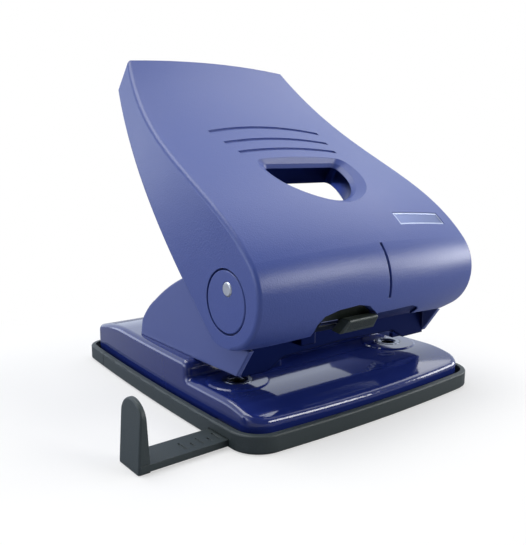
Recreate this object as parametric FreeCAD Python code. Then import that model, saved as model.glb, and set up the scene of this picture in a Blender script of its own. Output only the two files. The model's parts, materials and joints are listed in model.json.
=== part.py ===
import FreeCAD, Part
import math, os
from FreeCAD import Vector

# Heavy duty two-hole punch. Millimetres; +X is the machine's right, the paper goes in along +Y from
# the front (-Y), +Z is up. The origin is the middle of the underside.

# Sizes of the holes it makes
hole_pitch = 80.0          # between the two holes
edge_distance = 12.0       # from the paper's edge, at the stop, to the holes
pin_r = 2.75
running_gap = 0.05         # radial clearance of every shaft in its hole

# Chip tray, the outline that everything stands in
base_depth = 136.5
front_half = 58.3          # half width at the front corners
side_half = 57.8           # half width at the middle of the sides
rear_half = 53.7           # half width at the rear corners
front_bow = 2.6            # how far the front edge bulges
rear_bow = 0.8
front_corner_r = 11.6
rear_corner_r = 9.0
rim_z = 6.5
rim_t = 2.0
floor_t = 1.6

# Pressed steel base
skirt_inset = 4.0          # from the tray's outline to the steel's
sheet_t = 1.2
skirt_z = 3.4
platform_z = 20.0
table_z = 13.4
table_fall_r = 50.0        # the table curves down to its front edge
rear_fall_r = 95.0         # and the platform to the rear
step_r = 3.2
step_foot_r = 1.2
edge_r = 2.4
pad_h = 0.5                # round pads pressed up about the dies
pad_r = 11.0
punch_y = 34.5 - base_depth / 2
stop_y = punch_y + edge_distance
fall_y = punch_y - 10.0
rear_fall_y = punch_y + 66.0

# Handle and lever
lever_arm = 14.0           # pivot to punch line
pivot_y = punch_y - lever_arm
pivot_z = 51.1
axle_r = 2.5
stroke_deg = 30.0
cam_lead = 0.30            # radians of the cam already rolled off at rest
cover_half = 54.2
cover_t = 2.4
crown_r = 347.0            # the cover's top is a little barrel-shaped across its width
crown_rise = cover_half ** 2 / (2 * crown_r)
crease_r = 1.6             # round edges between the cover's top and its sides
nose_y = punch_y - 12.6
nose_z = 48.8
nose_r = 18.1
nose_turn = 138.7          # degrees round the nose where the top's curve begins
tip_y = punch_y + 76.3
tip_z = 130.1
tip_turn = 46.4
tip_depth = 13.6
nose_pull = 35.5
tip_pull = 53.4
nose_front = nose_y - nose_r - crown_rise
nose_cut_z = 31.0
nose_arch = 5.2                # the nose's lower edge rises this much in its middle
taper_from = 22.0          # along the handle from the nose, where the sides start to close in
taper_r = 378.0
handle_lean = 44.0
cap_y = punch_y - 13.0
cap_z = 46.7
cap_r = 10.5

# Bracket
plate_x = 49.5             # outer faces of the two side plates
plate_t = 2.0
bracket_rear = punch_y + 54.7
lip_y = punch_y - 12.3
lip_z = 19.5
lip_top = 30.6
cheek_x = hole_pitch / 2
cheek_t = 2.5

# Paper guide, pulled out
guide_out = -91.0          # outer face of its upright
guide_y0 = punch_y - 20.2
guide_w = 11.4
guide_z = 0.8
guide_t = 2.2
guide_gap = 0.3

# Chip door
door_y = punch_y + 80.0
seam = 0.3

os.makedirs("parts", exist_ok=True)


def save(name, shape):
    shape = shape.removeSplitter() if len(shape.Solids) == 1 else shape
    shape.exportStep("parts/" + name + ".step")


def box(x0, x1, y0, y1, z0, z1):
    return Part.makeBox(x1 - x0, y1 - y0, z1 - z0, Vector(x0, y0, z0))


def post(r, x, y, z0, z1):
    return Part.makeCylinder(r, z1 - z0, Vector(x, y, z0))


def shaft(r, x0, x1, y, z):
    return Part.makeCylinder(r, x1 - x0, Vector(x0, y, z), Vector(1, 0, 0))


def joined(shapes):
    return shapes[0].fuse(shapes[1:]) if len(shapes) > 1 else shapes[0]


def mirrored(shape):
    return shape.mirror(Vector(0, 0, 0), Vector(1, 0, 0))


def both(shape):
    return [shape, mirrored(shape)]


def s(y, z):
    return Vector(0, y, z)


def line(a, b):
    return Part.makeLine(a, b)


def arc(a, b, c):
    return Part.Arc(a, b, c).toShape()


def side_wire(points):
    # a closed run of straight lines through (y, z) points, in the plane x = 0
    v = [Vector(0, y, z) for y, z in points]
    return Part.makePolygon(v + [v[0]])


def across(wire, x0, x1):
    # a side-view shape carried across from x0 to x1
    face = Part.Face(wire)
    face.translate(Vector(x0, 0, 0))
    return face.extrude(Vector(x1 - x0, 0, 0))


# Plan outline: four bowed edges with round corners, and the same inset by any amount

half = base_depth / 2


def circle_through(a, b, c):
    circle = Part.Arc(a, b, c).toShape().Curve
    return circle.Center, circle.Radius


def crossing(c0, r0, c1, r1, side, end):
    # where two circles cross, on the right-hand side (x > 0), front or rear
    d = c1 - c0
    along = (r0 * r0 - r1 * r1 + d.Length ** 2) / (2 * d.Length)
    rise = math.sqrt(r0 * r0 - along * along)
    u = Vector(d).normalize()
    n = Vector(-u.y, u.x, 0)
    found = [c0 + u * along + n * rise, c0 + u * along - n * rise]
    return min(found, key=lambda p: (p - Vector(side, end, 0)).Length)


front_circle = circle_through(Vector(-front_half, front_bow - half, 0), Vector(0, -half, 0),
                              Vector(front_half, front_bow - half, 0))
rear_circle = circle_through(Vector(-rear_half, half - rear_bow, 0), Vector(0, half, 0),
                             Vector(rear_half, half - rear_bow, 0))
side_circle = circle_through(Vector(front_half, front_bow - half, 0), Vector(side_half, 0, 0),
                             Vector(rear_half, half - rear_bow, 0))


def slab(inset, z0, z1):
    fc, fr = front_circle[0], front_circle[1] - inset
    rc, rr = rear_circle[0], rear_circle[1] - inset
    sc, sr = side_circle[0], side_circle[1] - inset
    a = crossing(fc, fr, sc, sr, front_half, -half)
    b = crossing(rc, rr, sc, sr, rear_half, half)
    am, bm = Vector(-a.x, a.y, 0), Vector(-b.x, b.y, 0)
    middle = sc + ((a + b) * 0.5 - sc).normalize() * sr
    edges = [arc(am, fc + Vector(0, -fr, 0), a), arc(a, middle, b),
             arc(b, rc + Vector(0, rr, 0), bm), arc(bm, Vector(-middle.x, middle.y, 0), am)]
    solid = Part.Face(Part.Wire(edges)).extrude(Vector(0, 0, z1 - z0))
    for y, r in ((-half, front_corner_r), (half, rear_corner_r)):
        corners = [e for e in solid.Edges if abs(e.tangentAt(e.FirstParameter).z) > 0.9
                   and e.CenterOfMass.y * y > 0 and abs(e.CenterOfMass.x) > side_half * 0.6]
        solid = solid.makeFillet(r - inset, corners[:2] if len(corners) > 2 else corners)
    solid.translate(Vector(0, 0, z0))
    return solid


# Pressed base: raised platform behind the paper stop, curved table before it

def pressed(skin):
    body = slab(skirt_inset + skin, skirt_z - skin, platform_z - skin)
    stop, table, top = stop_y + skin, table_z - skin, platform_z - skin
    round_r, foot_r, fall_r = step_r - skin, step_foot_r + skin, table_fall_r - skin
    k = math.sqrt(0.5)
    front = -half - 5
    mid = (front + fall_y) / 2

    def fall(y):
        return table - fall_r + math.sqrt(fall_r ** 2 - (y - fall_y) ** 2)

    def v(y, z):
        return Vector(0, y, z)
    edges = [
        arc(v(stop + round_r, top), v(stop + round_r * (1 - k), top - round_r * (1 - k)), v(stop, top - round_r)),
        line(v(stop, top - round_r), v(stop, table + foot_r)),
        arc(v(stop, table + foot_r), v(stop - foot_r * (1 - k), table + foot_r * (1 - k)), v(stop - foot_r, table)),
        line(v(stop - foot_r, table), v(fall_y, table)),
        arc(v(fall_y, table), v(mid, fall(mid)), v(front, fall(front))),
        line(v(front, fall(front)), v(front, top + 5)),
        line(v(front, top + 5), v(stop + round_r, top + 5)),
        line(v(stop + round_r, top + 5), v(stop + round_r, top))]
    body = body.cut(across(Part.Wire(edges), -half, half))
    back_r = rear_fall_r - skin
    back, half_way = half + 5, (rear_fall_y + half) / 2

    def drop(y):
        return top - back_r + math.sqrt(back_r ** 2 - (y - rear_fall_y) ** 2)
    edges = [arc(v(rear_fall_y, top), v(half_way, drop(half_way)), v(back, drop(back))),
             line(v(back, drop(back)), v(back, top + 5)), line(v(back, top + 5), v(rear_fall_y, top + 5)),
             line(v(rear_fall_y, top + 5), v(rear_fall_y, top))]
    body = body.cut(across(Part.Wire(edges), -half, half))

    def upright(face):
        s = face.Surface
        return s.TypeId == "Part::GeomCylinder" and abs(s.Axis.z) > 0.9
    rim = []
    for e in body.Edges:
        faces = body.ancestorsOfType(e, Part.Face)
        if len(faces) == 2 and upright(faces[0]) != upright(faces[1]) and e.CenterOfMass.z > skirt_z + 2:
            rim.append(e)
    return body.makeFillet(edge_r - skin, rim)


die_x = hole_pitch / 2
die_top = table_z + pad_h + 0.1
die_flange_r = 5.25
die_body_r = 4.4
rivet_r = 2.0
rivet_spots = [(x, punch_y + y) for x in (-34.0, 34.0) for y in (21.0, 45.0)]
door_window = 32.0         # half width of the opening behind the chip door
guide_y1 = guide_y0 + guide_w
bore_y0, bore_y1 = guide_y0 - guide_gap, guide_y1 + guide_gap
bore_z0, bore_z1 = guide_z - 0.2, guide_z + guide_t + guide_gap
channel_wall = 1.4

base_plate = pressed(0)
for pad in both(Part.makeCone(pad_r + 0.8, pad_r, pad_h + 0.2, Vector(die_x, punch_y, table_z - 0.2))):
    base_plate = base_plate.fuse(pad)
base_plate = base_plate.cut(pressed(sheet_t))
for seat in (post(die_body_r + running_gap, die_x, punch_y, 0, platform_z),
             post(die_flange_r + 0.15, die_x, punch_y, table_z - 0.4, platform_z)):
    base_plate = base_plate.cut(joined(both(seat)))
base_plate = base_plate.cut(joined([post(rivet_r + running_gap, x, y, 0, 30) for x, y in rivet_spots]))
base_plate = base_plate.cut(box(-door_window, door_window, half - 15, half, 0, rim_z - 0.4))
# its skirt stands astride the paper guide's channel
base_plate = base_plate.cut(box(-half, half, bore_y0 - channel_wall - 0.3, bore_y1 + channel_wall + 0.3,
                                0, bore_z1 + channel_wall + 0.3))
save("base_plate", base_plate)

die = post(die_flange_r, die_x, punch_y, table_z - 0.4, die_top)
die = die.fuse(post(die_body_r, die_x, punch_y, table_z - 3.4, table_z - 0.3))
die = die.cut(post(pin_r + running_gap, die_x, punch_y, 0, platform_z))
die = die.cut(post(pin_r + 0.7, die_x, punch_y, 0, die_top - 2.0))
die = die.cut(Part.makeCone(pin_r, pin_r + 1.2, 0.6, Vector(die_x, punch_y, die_top - 0.55)))
save("die_right", die)
save("die_left", mirrored(die))

# Chip tray: floor and rim, a closed channel for the paper guide, and the tongue guides of its door

tongue_in, tongue_out = 24.0, 36.0
tongue_z = floor_t + 0.15
tongue_t = 1.4
bridge_y = door_y - seam - 1.6

tray = slab(0, 0, rim_z)
foot = [e for e in tray.Edges if e.CenterOfMass.z < 0.01]
tray = tray.makeChamfer(0.8, foot)
rim_top = [e for e in tray.Edges if e.CenterOfMass.z > rim_z - 0.01]
tray = tray.makeFillet(0.7, rim_top)
tray = tray.cut(slab(rim_t, floor_t, rim_z + 1))
whole = tray
tray = tray.fuse(slab(rim_t - 0.5, 0.5, bore_z1 + channel_wall).common(
    box(-side_half, side_half, bore_y0 - channel_wall, bore_y1 + channel_wall, 0.5, bore_z1 + channel_wall)))
tray = tray.cut(box(-side_half - 5, side_half - rim_t - 3, bore_y0, bore_y1, bore_z0, bore_z1))
windows = 4
for i in range(windows):
    x = -50 + i * 27.0
    tray = tray.cut(box(x, x + 19, bore_y0 + 1.5, bore_y1 - 1.5, -1, bore_z0 + 0.1))
ledge = slab(skirt_inset - 0.8, floor_t, skirt_z).cut(slab(skirt_inset + 2.6, floor_t - 1, skirt_z + 1))
tab = slab(skirt_inset + sheet_t + 0.3, floor_t, rim_z + 3).cut(slab(skirt_inset + sheet_t + 1.8, floor_t - 1, rim_z + 4))
for y0, y1 in ((punch_y - 3, punch_y + 8), (punch_y + 34, punch_y + 45), (punch_y + 62, punch_y + 72)):
    for part in (ledge, tab):
        tray = tray.fuse(part.common(box(-side_half, side_half, y0, y1, 0, rim_z + 4)))
tray = tray.cut(box(-half, half, door_y - seam, half + 5, -1, rim_z + 5))
for x0, x1 in ((tongue_in, tongue_out), (-tongue_out, -tongue_in)):
    for x in (x0 - 1.8, x1 + 0.3):
        tray = tray.fuse(box(x, x + 1.5, punch_y + 58, bridge_y + 1.6, floor_t - 0.2, tongue_z + tongue_t + 0.2))
    tray = tray.fuse(box(x0 - 1.8, x1 + 1.8, bridge_y, bridge_y + 1.6, tongue_z + tongue_t + 0.1, tongue_z + tongue_t + 1.4))
    for x in (x0 - 1.8, x1 + 0.3):
        tray = tray.fuse(box(x, x + 1.5, bridge_y, bridge_y + 1.6, floor_t, tongue_z + tongue_t + 1.4))
save("chip_tray", tray)

door_travel = 14.0
tongue_end = bridge_y - door_travel - 2.0
door = whole.common(box(-half, half, door_y, half + 5, -1, rim_z + 5))
for tongue in both(box(tongue_in, tongue_out, tongue_end, door_y + 4, tongue_z, tongue_z + tongue_t).fuse(
        box(tongue_in, tongue_out, tongue_end, tongue_end + 1.9, tongue_z, tongue_z + tongue_t + 1.2))):
    door = door.fuse(tongue)
for root in both(box(tongue_in, tongue_out, door_y, door_y + 4, floor_t - 0.2, tongue_z + 0.1)):
    door = door.fuse(root)
save("chip_door", door)

# Paper guide: flat bar with an upright that tapers to a round top

upright_y0 = guide_y0 + 0.3
upright_w = 12.9
upright_h = 22.4
upright_foot = 4.4         # its thickness at the bar, less toward the top
guide_len = 116.0
bar = box(guide_out + 1.0, guide_out + guide_len, guide_y0, guide_y0 + guide_w, guide_z, guide_z + guide_t)
round_h = 5.6              # height of the upright's half-oval top
round_y, round_z = upright_y0 + upright_w / 2, upright_h - round_h
oval = Part.Ellipse(s(round_y + upright_w / 2, round_z), s(round_y, upright_h), s(round_y, round_z))
upright_edges = [
    line(s(upright_y0, round_z), s(upright_y0, 0.3)), line(s(upright_y0, 0.3), s(upright_y0 + upright_w, 0.3)),
    line(s(upright_y0 + upright_w, 0.3), s(upright_y0 + upright_w, round_z)), oval.toShape(0, math.pi)]
upright = across(Part.Wire(upright_edges), guide_out, guide_out + upright_foot)
flanks = [(0.5, -1), (0.5, 1.5), (2.0, upright_h + 1), (3.3, upright_h + 1), (upright_foot, 3.5), (upright_foot, -1)]
flank_face = Part.Face(Part.makePolygon([Vector(guide_out + x, -half - 5, z) for x, z in flanks + flanks[:1]]))
upright = upright.common(flank_face.extrude(Vector(0, half, 0)))
outside = [e for e in upright.Edges if e.CenterOfMass.x < guide_out + 2.2 and e.BoundBox.ZMax > 0.4
           and e.BoundBox.YLength + e.BoundBox.ZLength > 3 and e.BoundBox.ZMin > 1.4]
upright = upright.makeFillet(0.7, outside)
guide = bar.fuse(upright)
tick_pitch, tick_len = 3.2, 5.0
for i in range(5):
    x = -73.0 + i * tick_pitch
    guide = guide.cut(box(x, x + 0.7, guide_y0 + 2.5, guide_y0 + 2.5 + (tick_len if i % 2 == 0 else tick_len * 0.6),
                          guide_z + guide_t - 0.3, guide_z + guide_t + 1))
save("paper_guide", guide)

# Bracket: two side plates, the shelf that carries the punch guides, and a lip across the front

shelf_z = platform_z + plate_t
boss_r = 12.0
tip_front = s(punch_y - 19.5, lip_top)   # each plate reaches forward to the edge of the nose
foot = s(lip_y, platform_z + 0.4)
throat = punch_y - 12.0                  # and passes up inside the nose behind this line
turn0, turn1 = math.radians(72), math.radians(208)


def on_boss(a):
    return s(pivot_y + boss_r * math.cos(a), pivot_z + boss_r * math.sin(a))


heel, hip = s(bracket_rear - 1.5, platform_z + 6.5), s(punch_y + 42.4, 36.7)
shoulder = s(punch_y + 20.8, 48.9)
plate_edges = [
    line(foot, s(punch_y + 14, platform_z)), line(s(punch_y + 14, platform_z), s(bracket_rear, platform_z)),
    line(s(bracket_rear, platform_z), heel), arc(heel, s(punch_y + 49.2, 31.3), hip),
    arc(hip, s(punch_y + 32.2, 43.3), shoulder), line(shoulder, on_boss(turn0)),
    arc(on_boss(turn0), on_boss((turn0 + turn1) / 2), on_boss(turn1)),
    line(on_boss(turn1), s(punch_y - 18, 36.5)), line(s(punch_y - 18, 36.5), s(throat, 33.4)),
    line(s(throat, 33.4), s(throat, lip_top)), line(s(throat, lip_top), tip_front), line(tip_front, foot)]
plate = across(Part.Wire(plate_edges), plate_x - plate_t, plate_x)
inner = plate_x - plate_t
land_in = 29.5
lip_t = plate_t
shelf = box(-inner, inner, punch_y + 13, bracket_rear - 2, platform_z, shelf_z)
shelf = shelf.cut(box(-20, 20, punch_y + 22, punch_y + 42, 0, 40))
lands = both(box(land_in, inner, lip_y + 0.5, punch_y + 14, platform_z, shelf_z))
lip = box(-inner, inner, lip_y, lip_y + lip_t, lip_z, lip_top)
notch = [(-36.0, lip_z - 0.6), (-29.0, 23.3), (0.0, 24.2), (29.0, 23.3), (36.0, lip_z - 0.6)]
notch_face = Part.Face(Part.makePolygon([Vector(x, lip_y - 5, z) for x, z in notch + notch[:1]]))
lip = lip.cut(notch_face.extrude(Vector(0, 10, 0)))
rear_rib = box(-inner, inner, bracket_rear - 4, bracket_rear - 2, platform_z, platform_z + 9)
catch_x0, catch_x1 = -25.0, -18.5
catch_y = punch_y - 17.5
catch_top = 38.0
catch = box(catch_x0, catch_x1, catch_y, lip_y + 1, 27.6, 29.6).fuse(
    box(catch_x0, catch_x1, catch_y, catch_y + 1.6, 27.6, catch_top))
bracket = joined([shelf] + both(plate) + lands + [lip, rear_rib, catch])
guide_body_r = 4.0
bracket = bracket.cut(joined(both(post(guide_body_r + running_gap, die_x, punch_y, 10, 40))))
bracket = bracket.cut(shaft(axle_r + running_gap, -60, 60, pivot_y, pivot_z))
bracket = bracket.cut(joined([post(rivet_r + running_gap, x, y, 0, 30) for x, y in rivet_spots]))
save("punch_bracket", bracket)

rivets = []
for x, y in rivet_spots:
    low = platform_z - sheet_t
    rivet = post(rivet_r, x, y, low - 0.5, shelf_z + 0.5)
    rivet = rivet.fuse(post(rivet_r * 1.8, x, y, low - 1.1, low))
    dome = Part.makeSphere(4.6, Vector(x, y, shelf_z - 2.9)).common(box(x - 6, x + 6, y - 6, y + 6, shelf_z, shelf_z + 6))
    rivets.append(rivet.fuse(dome))
Part.makeCompound(rivets).exportStep("parts/bracket_rivets.step")

# Punch guides, pins and their return springs

bush_z0, bush_z1 = platform_z - 1.0, platform_z + 9.0
bush_flange_r = 5.2
seat_z = shelf_z + 1.2
bush = post(guide_body_r, die_x, punch_y, bush_z0, bush_z1).fuse(post(bush_flange_r, die_x, punch_y, shelf_z, seat_z))
bush = bush.cut(post(pin_r + running_gap, die_x, punch_y, 0, 60))
save("punch_guide_right", bush)
save("punch_guide_left", mirrored(bush))

pin_tip = bush_z0 + 0.6
head_top = pivot_z - lever_arm * cam_lead - 0.1
head_t = 2.2
pin = post(pin_r, die_x, punch_y, pin_tip, head_top - 0.2).fuse(
    post(bush_flange_r, die_x, punch_y, head_top - head_t, head_top))
hollow = Part.makeCylinder(3.4, 8, Vector(die_x - 4, punch_y, pin_tip - 2.5), Vector(1, 0, 0))
pin = pin.cut(hollow)
save("punch_pin_right", pin)
save("punch_pin_left", mirrored(pin))

wire_r = 0.35
coil_r = 4.7
turns = 7
low, high = seat_z + wire_r + 0.05, head_top - head_t - wire_r - 0.05
helix = Part.makeHelix((high - low) / turns, high - low, coil_r)
section = Part.Wire(Part.makeCircle(wire_r, Vector(coil_r, 0, 0), Vector(0, 1, 0)))
spring = Part.Wire(helix).makePipeShell([section], True, True)
spring.translate(Vector(die_x, punch_y, low))
save("punch_spring_right", spring)
save("punch_spring_left", mirrored(spring))

# Axle through both plates, held by a clip inside each

clip_x, clip_t = inner - 1.1, 0.8
axle = shaft(axle_r, -cover_half - 0.3, cover_half + 0.3, pivot_y, pivot_z)
axle = axle.makeChamfer(0.4, [e for e in axle.Edges if abs(abs(e.CenterOfMass.x) - cover_half - 0.3) < 0.01])
groove = shaft(axle_r + 1, clip_x - 0.1, clip_x + clip_t + 0.1, pivot_y, pivot_z).cut(
    shaft(axle_r - 0.4, clip_x - 1, clip_x + clip_t + 1, pivot_y, pivot_z))
axle = axle.cut(joined(both(groove)))
save("pivot_axle", axle)
clip = shaft(axle_r + 2.0, clip_x, clip_x + clip_t, pivot_y, pivot_z).cut(
    shaft(axle_r - 0.35, clip_x - 1, clip_x + clip_t + 1, pivot_y, pivot_z))
clip = clip.cut(box(clip_x - 1, clip_x + 3, pivot_y - 1.7, pivot_y + 1.7, pivot_z - 9, pivot_z))
Part.makeCompound(both(clip)).exportStep("parts/axle_clips.step")

# Lever: two cheeks with involute cams over the pins, joined by a web that the cover is screwed to.
# An involute of a circle of the lever arm's radius always presses the pin on its own axis.

web_t = 2.5
top0 = (punch_y + 4.0, 75.5)
top1 = (punch_y + 52.0, 104.5)
run = Vector(0, top1[0] - top0[0], top1[1] - top0[1]).normalize()
up = Vector(0, -run.z, run.y)


def cam_point(turn):
    roll = lever_arm * (cam_lead + turn)
    return s(pivot_y + lever_arm * math.cos(turn) + roll * math.sin(turn),
             pivot_z + lever_arm * math.sin(turn) - roll * math.cos(turn))


last = math.radians(stroke_deg) + 0.08
steps = 10
lobe_low = 3.2             # the lobe stays above the pin's head behind the cam
cam_curve = Part.BSplineCurve()
cam_curve.interpolate([cam_point(-0.27 + i * (last + 0.27) / steps) for i in range(steps + 1)])
start, end = cam_curve.getPoles()[0], cam_curve.getPoles()[-1]
lobe = Part.Wire([cam_curve.toShape(), line(end, s(pivot_y + 20.5, pivot_z + 5)),
                  line(s(pivot_y + 20.5, pivot_z + 5), s(pivot_y + 4, pivot_z + 6)),
                  line(s(pivot_y + 4, pivot_z + 6), s(pivot_y + 4, pivot_z - lobe_low)),
                  line(s(pivot_y + 4, pivot_z - lobe_low), start)])
cheek0, cheek1 = cheek_x - cheek_t / 2, cheek_x + cheek_t / 2
hub_r = 9.0
arm = side_wire([(pivot_y - 6.5, pivot_z + 6.2), top0, top1, (punch_y + 55.5, 99.0), (punch_y + 30, 75.0),
                 (pivot_y + 20.5, pivot_z + 5), (pivot_y + 4, pivot_z)])
cheek = joined([shaft(hub_r, cheek0, cheek1, pivot_y, pivot_z), across(lobe, cheek0, cheek1), across(arm, cheek0, cheek1)])
web_from = 22.0            # along the cheek's top edge, past the hand hole
web_len = (Vector(0, *top1) - Vector(0, *top0)).Length
a = Vector(0, *top0) + run * web_from
b = Vector(0, *top1)
web = across(side_wire([(p.y, p.z) for p in (a, b, b - up * web_t, a - up * web_t)]), -cheek1, cheek1)
lever = joined(both(cheek) + [web])
screw_spots = [(x, web_from + d) for x in (-22.0, 22.0) for d in (7.0, 26.0)]
screw_r = 1.5


def along_up(x, d, r, h0, h1):
    # a round post square to the web, at distance d along the cheek's top edge
    base = Vector(x, *top0) + run * d + up * h0
    return Part.makeCylinder(r, h1 - h0, base, up)


lever = lever.cut(joined([along_up(x, d, screw_r + 0.3, -8, 4) for x, d in screw_spots]))
lever = lever.cut(shaft(axle_r + running_gap, -60, 60, pivot_y, pivot_z))
save("handle_lever", lever)
screws = [along_up(x, d, screw_r - 0.05, -web_t - 0.3, 5.5).fuse(along_up(x, d, 2.8, -web_t - 1.5, -web_t))
          .cut(along_up(x, d, 0.5, -web_t - 2, -web_t - 0.9).fuse(
              Part.makeBox(3.6, 0.7, 0.7, Vector(x, *top0) + run * d + up * (-web_t - 1.5) - Vector(1.8, 0, 0) - run * 0.35,
                           up))) for x, d in screw_spots]
Part.makeCompound(screws).exportStep("parts/lever_screws.step")

# Cover: a skin at any depth below the outer face, as a loft of side views across the width

angle0 = math.radians(nose_turn)
nose_c = Vector(0, nose_y, nose_z)
tip = Vector(0, tip_y, tip_z)
start_dir = Vector(0, math.sin(angle0), -math.cos(angle0))
end_dir = Vector(0, math.cos(math.radians(tip_turn)), math.sin(math.radians(tip_turn)))
join = nose_c + Vector(0, math.cos(angle0), math.sin(angle0)) * nose_r
top_curve = Part.BezierCurve()
top_curve.setPoles([join, join + start_dir * nose_pull, tip - end_dir * tip_pull, tip])
lean = math.radians(handle_lean)
lean_dir = Vector(0, math.cos(lean), math.sin(lean))
lean_up = Vector(0, -math.sin(lean), math.cos(lean))
tip_low = tip + Vector(0, math.sin(math.radians(40)), -math.cos(math.radians(40))) * tip_depth
under_dir = Vector(0, math.cos(math.radians(45.2)), math.sin(math.radians(45.2)))


def top_point(t, depth):
    n = top_curve.tangent(t)[0]
    n = Vector(0, -n.z, n.y)
    return top_curve.value(t) - n * depth


def side_view(x, depth, open_by):
    # the side outline at distance x from the middle, its skin moved in by depth, its underside out by open_by
    sink = x * x / (2 * crown_r) - crown_rise + depth
    r = nose_r - sink
    out = Vector(0, under_dir.z, -under_dir.y)
    low_point = tip_low + out * open_by - end_dir * depth
    gap = (nose_c - low_point).dot(out)
    foot = low_point - under_dir * ((low_point - nose_c).dot(under_dir))
    reach = math.sqrt(max(r * r - gap * gap, 0.04)) if abs(gap) < r else 0.2
    begin = foot - under_dir * reach
    if open_by > 0:
        begin = s(nose_y - math.sqrt(r * r - (nose_z - nose_cut_z + 4) ** 2) if r > nose_z - nose_cut_z + 4 else nose_y,
                  max(nose_cut_z - 4, nose_z - r))
    a0 = math.atan2(begin.z - nose_z, begin.y - nose_y) % (2 * math.pi)
    mid = (a0 + angle0) / 2
    round_mid = nose_c + Vector(0, math.cos(mid), math.sin(mid)) * r
    begin = nose_c + Vector(0, math.cos(a0), math.sin(a0)) * r
    curve = Part.BSplineCurve()
    samples = 8
    curve.interpolate([top_point(i / samples, sink) for i in range(samples + 1)])
    first, final = top_point(0, sink), top_point(1, sink) - end_dir * depth
    edges = [arc(begin, round_mid, first), curve.toShape()]
    if depth > 0:
        curve = Part.BSplineCurve()
        curve.interpolate([top_point(i / samples * 0.965, sink) for i in range(samples + 1)])
        final = top_point(0.965, sink)
        edges = [arc(begin, round_mid, first), curve.toShape()]
    corner = low_point
    edges.append(line(final, corner))
    if open_by > 0:
        below = s(begin.y, nose_cut_z - 12)
        under = s(corner.y, nose_cut_z - 12)
        edges += [line(corner, under), line(under, below), line(below, begin)]
    else:
        edges.append(line(corner, begin))
    wire = Part.Wire(edges)
    wire.translate(Vector(x, 0, 0))
    return wire


def cover_block(depth, open_by):
    wide = cover_half + 0.5
    stations = [-wide, -wide * 0.67, -wide * 0.33, 0, wide * 0.33, wide * 0.67, wide]
    block = Part.makeLoft([side_view(x, depth, open_by) for x in stations], True, False)
    # plan outline, seen square to the handle: straight sides by the nose, closing in to the tip
    w = cover_half - depth
    n0 = -60.0
    n2 = 150.0

    def p(x, along):
        return nose_c + Vector(x, 0, 0) + lean_dir * along - lean_up * 120

    def closing(along):
        return w - (along - taper_from) ** 2 / (2 * taper_r)
    mid = (taper_from + n2) / 2
    edges = [line(p(-w, n0), p(w, n0)), line(p(w, n0), p(w, taper_from)),
             arc(p(w, taper_from), p(closing(mid), mid), p(closing(n2), n2)),
             line(p(closing(n2), n2), p(-closing(n2), n2)),
             arc(p(-closing(n2), n2), p(-closing(mid), mid), p(-w, taper_from)),
             line(p(-w, taper_from), p(-w, n0))]
    return block.common(Part.Face(Part.Wire(edges)).extrude(lean_up * 260))


# Places on the cover's skin, by distance along its edge from the tip: over the top, then round the nose

top_len = top_curve.length()


def skin(along):
    # point, outward direction and direction toward the tip
    if along < top_len:
        t = top_curve.parameterAtDistance(top_len - along, 0.0)
        d = top_curve.tangent(t)[0]
        return top_curve.value(t), Vector(0, -d.z, d.y), d
    a = angle0 + (along - top_len) / nose_r
    n = Vector(0, math.cos(a), math.sin(a))
    return nose_c + n * nose_r, n, Vector(0, n.z, -n.y)


def on_skin(edges_of, along, low, high):
    # a prism square to the skin at one place; edges_of draws its outline with a point maker p(x, along)
    c, n, d = skin(along)

    def p(x, at, rise=0.0):
        return c + Vector(x, 0, 0) + d * (along - at) + n * (low + rise)
    return Part.Face(Part.Wire(edges_of(p))).extrude(n * (high - low))


def funnel(edges_low, edges_high, along):
    # between two outlines drawn at their own heights above the skin
    c, n, d = skin(along)

    def p(x, at, rise=0.0):
        return c + Vector(x, 0, 0) + d * (along - at) + n * rise
    return Part.makeLoft([Part.Wire(edges_low(p)), Part.Wire(edges_high(p))], True, True)


def rectangle(x0, x1, s0, s1):
    return lambda p: [line(p(x0, s0), p(x1, s0)), line(p(x1, s0), p(x1, s1)), line(p(x1, s1), p(x0, s1)),
                      line(p(x0, s1), p(x0, s0))]


def rounded_d(x, s0, s1, s2, corner, low=0.0):
    # flat toward the tip, half-oval toward the nose; low sinks it along the skin's normal
    def edges(p):
        def q(u, v):
            return p(u, v, low)
        k = corner * (1 - math.sqrt(0.5))
        n = 12
        turns = [math.pi * i / n for i in range(n + 1)]
        curve = Part.BSplineCurve()
        curve.interpolate([q(math.copysign(x * abs(math.cos(t)) ** 1.2, math.cos(t)), s1 + (s2 - s1) * math.sin(t))
                           for t in turns])
        return [curve.toShape(), line(q(-x, s1), q(-x, s0 + corner)),
                arc(q(-x, s0 + corner), q(-x + k, s0 + k), q(-x + corner, s0)),
                line(q(-x + corner, s0), q(x - corner, s0)),
                arc(q(x - corner, s0), q(x - k, s0 + k), q(x, s0 + corner)), line(q(x, s0 + corner), q(x, s1))]
    return edges


def arched(x, s0, sag, w):
    # a grip groove: a band of width w that bows toward the tip
    def edges(p):
        return [arc(p(-x, s0 + sag), p(0, s0), p(x, s0 + sag)), line(p(x, s0 + sag), p(x, s0 + sag + w)),
                arc(p(x, s0 + sag + w), p(0, s0 + w), p(-x, s0 + sag + w)), line(p(-x, s0 + sag + w), p(-x, s0 + sag))]
    return edges


outer = cover_block(0, 0)
outer = outer.cut(box(-80, 80, -150, 150, -20, nose_cut_z))
arch_ends = [Vector(side * cover_half, nose_front - 10, nose_cut_z - 0.2) for side in (-1, 1)]
arch = Part.Face(Part.Wire([arc(arch_ends[0], Vector(0, nose_front - 10, nose_cut_z + nose_arch), arch_ends[1]),
                            line(arch_ends[1], arch_ends[0])]))
outer = outer.cut(arch.extrude(Vector(0, nose_y - nose_front + 5, 0)))


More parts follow.
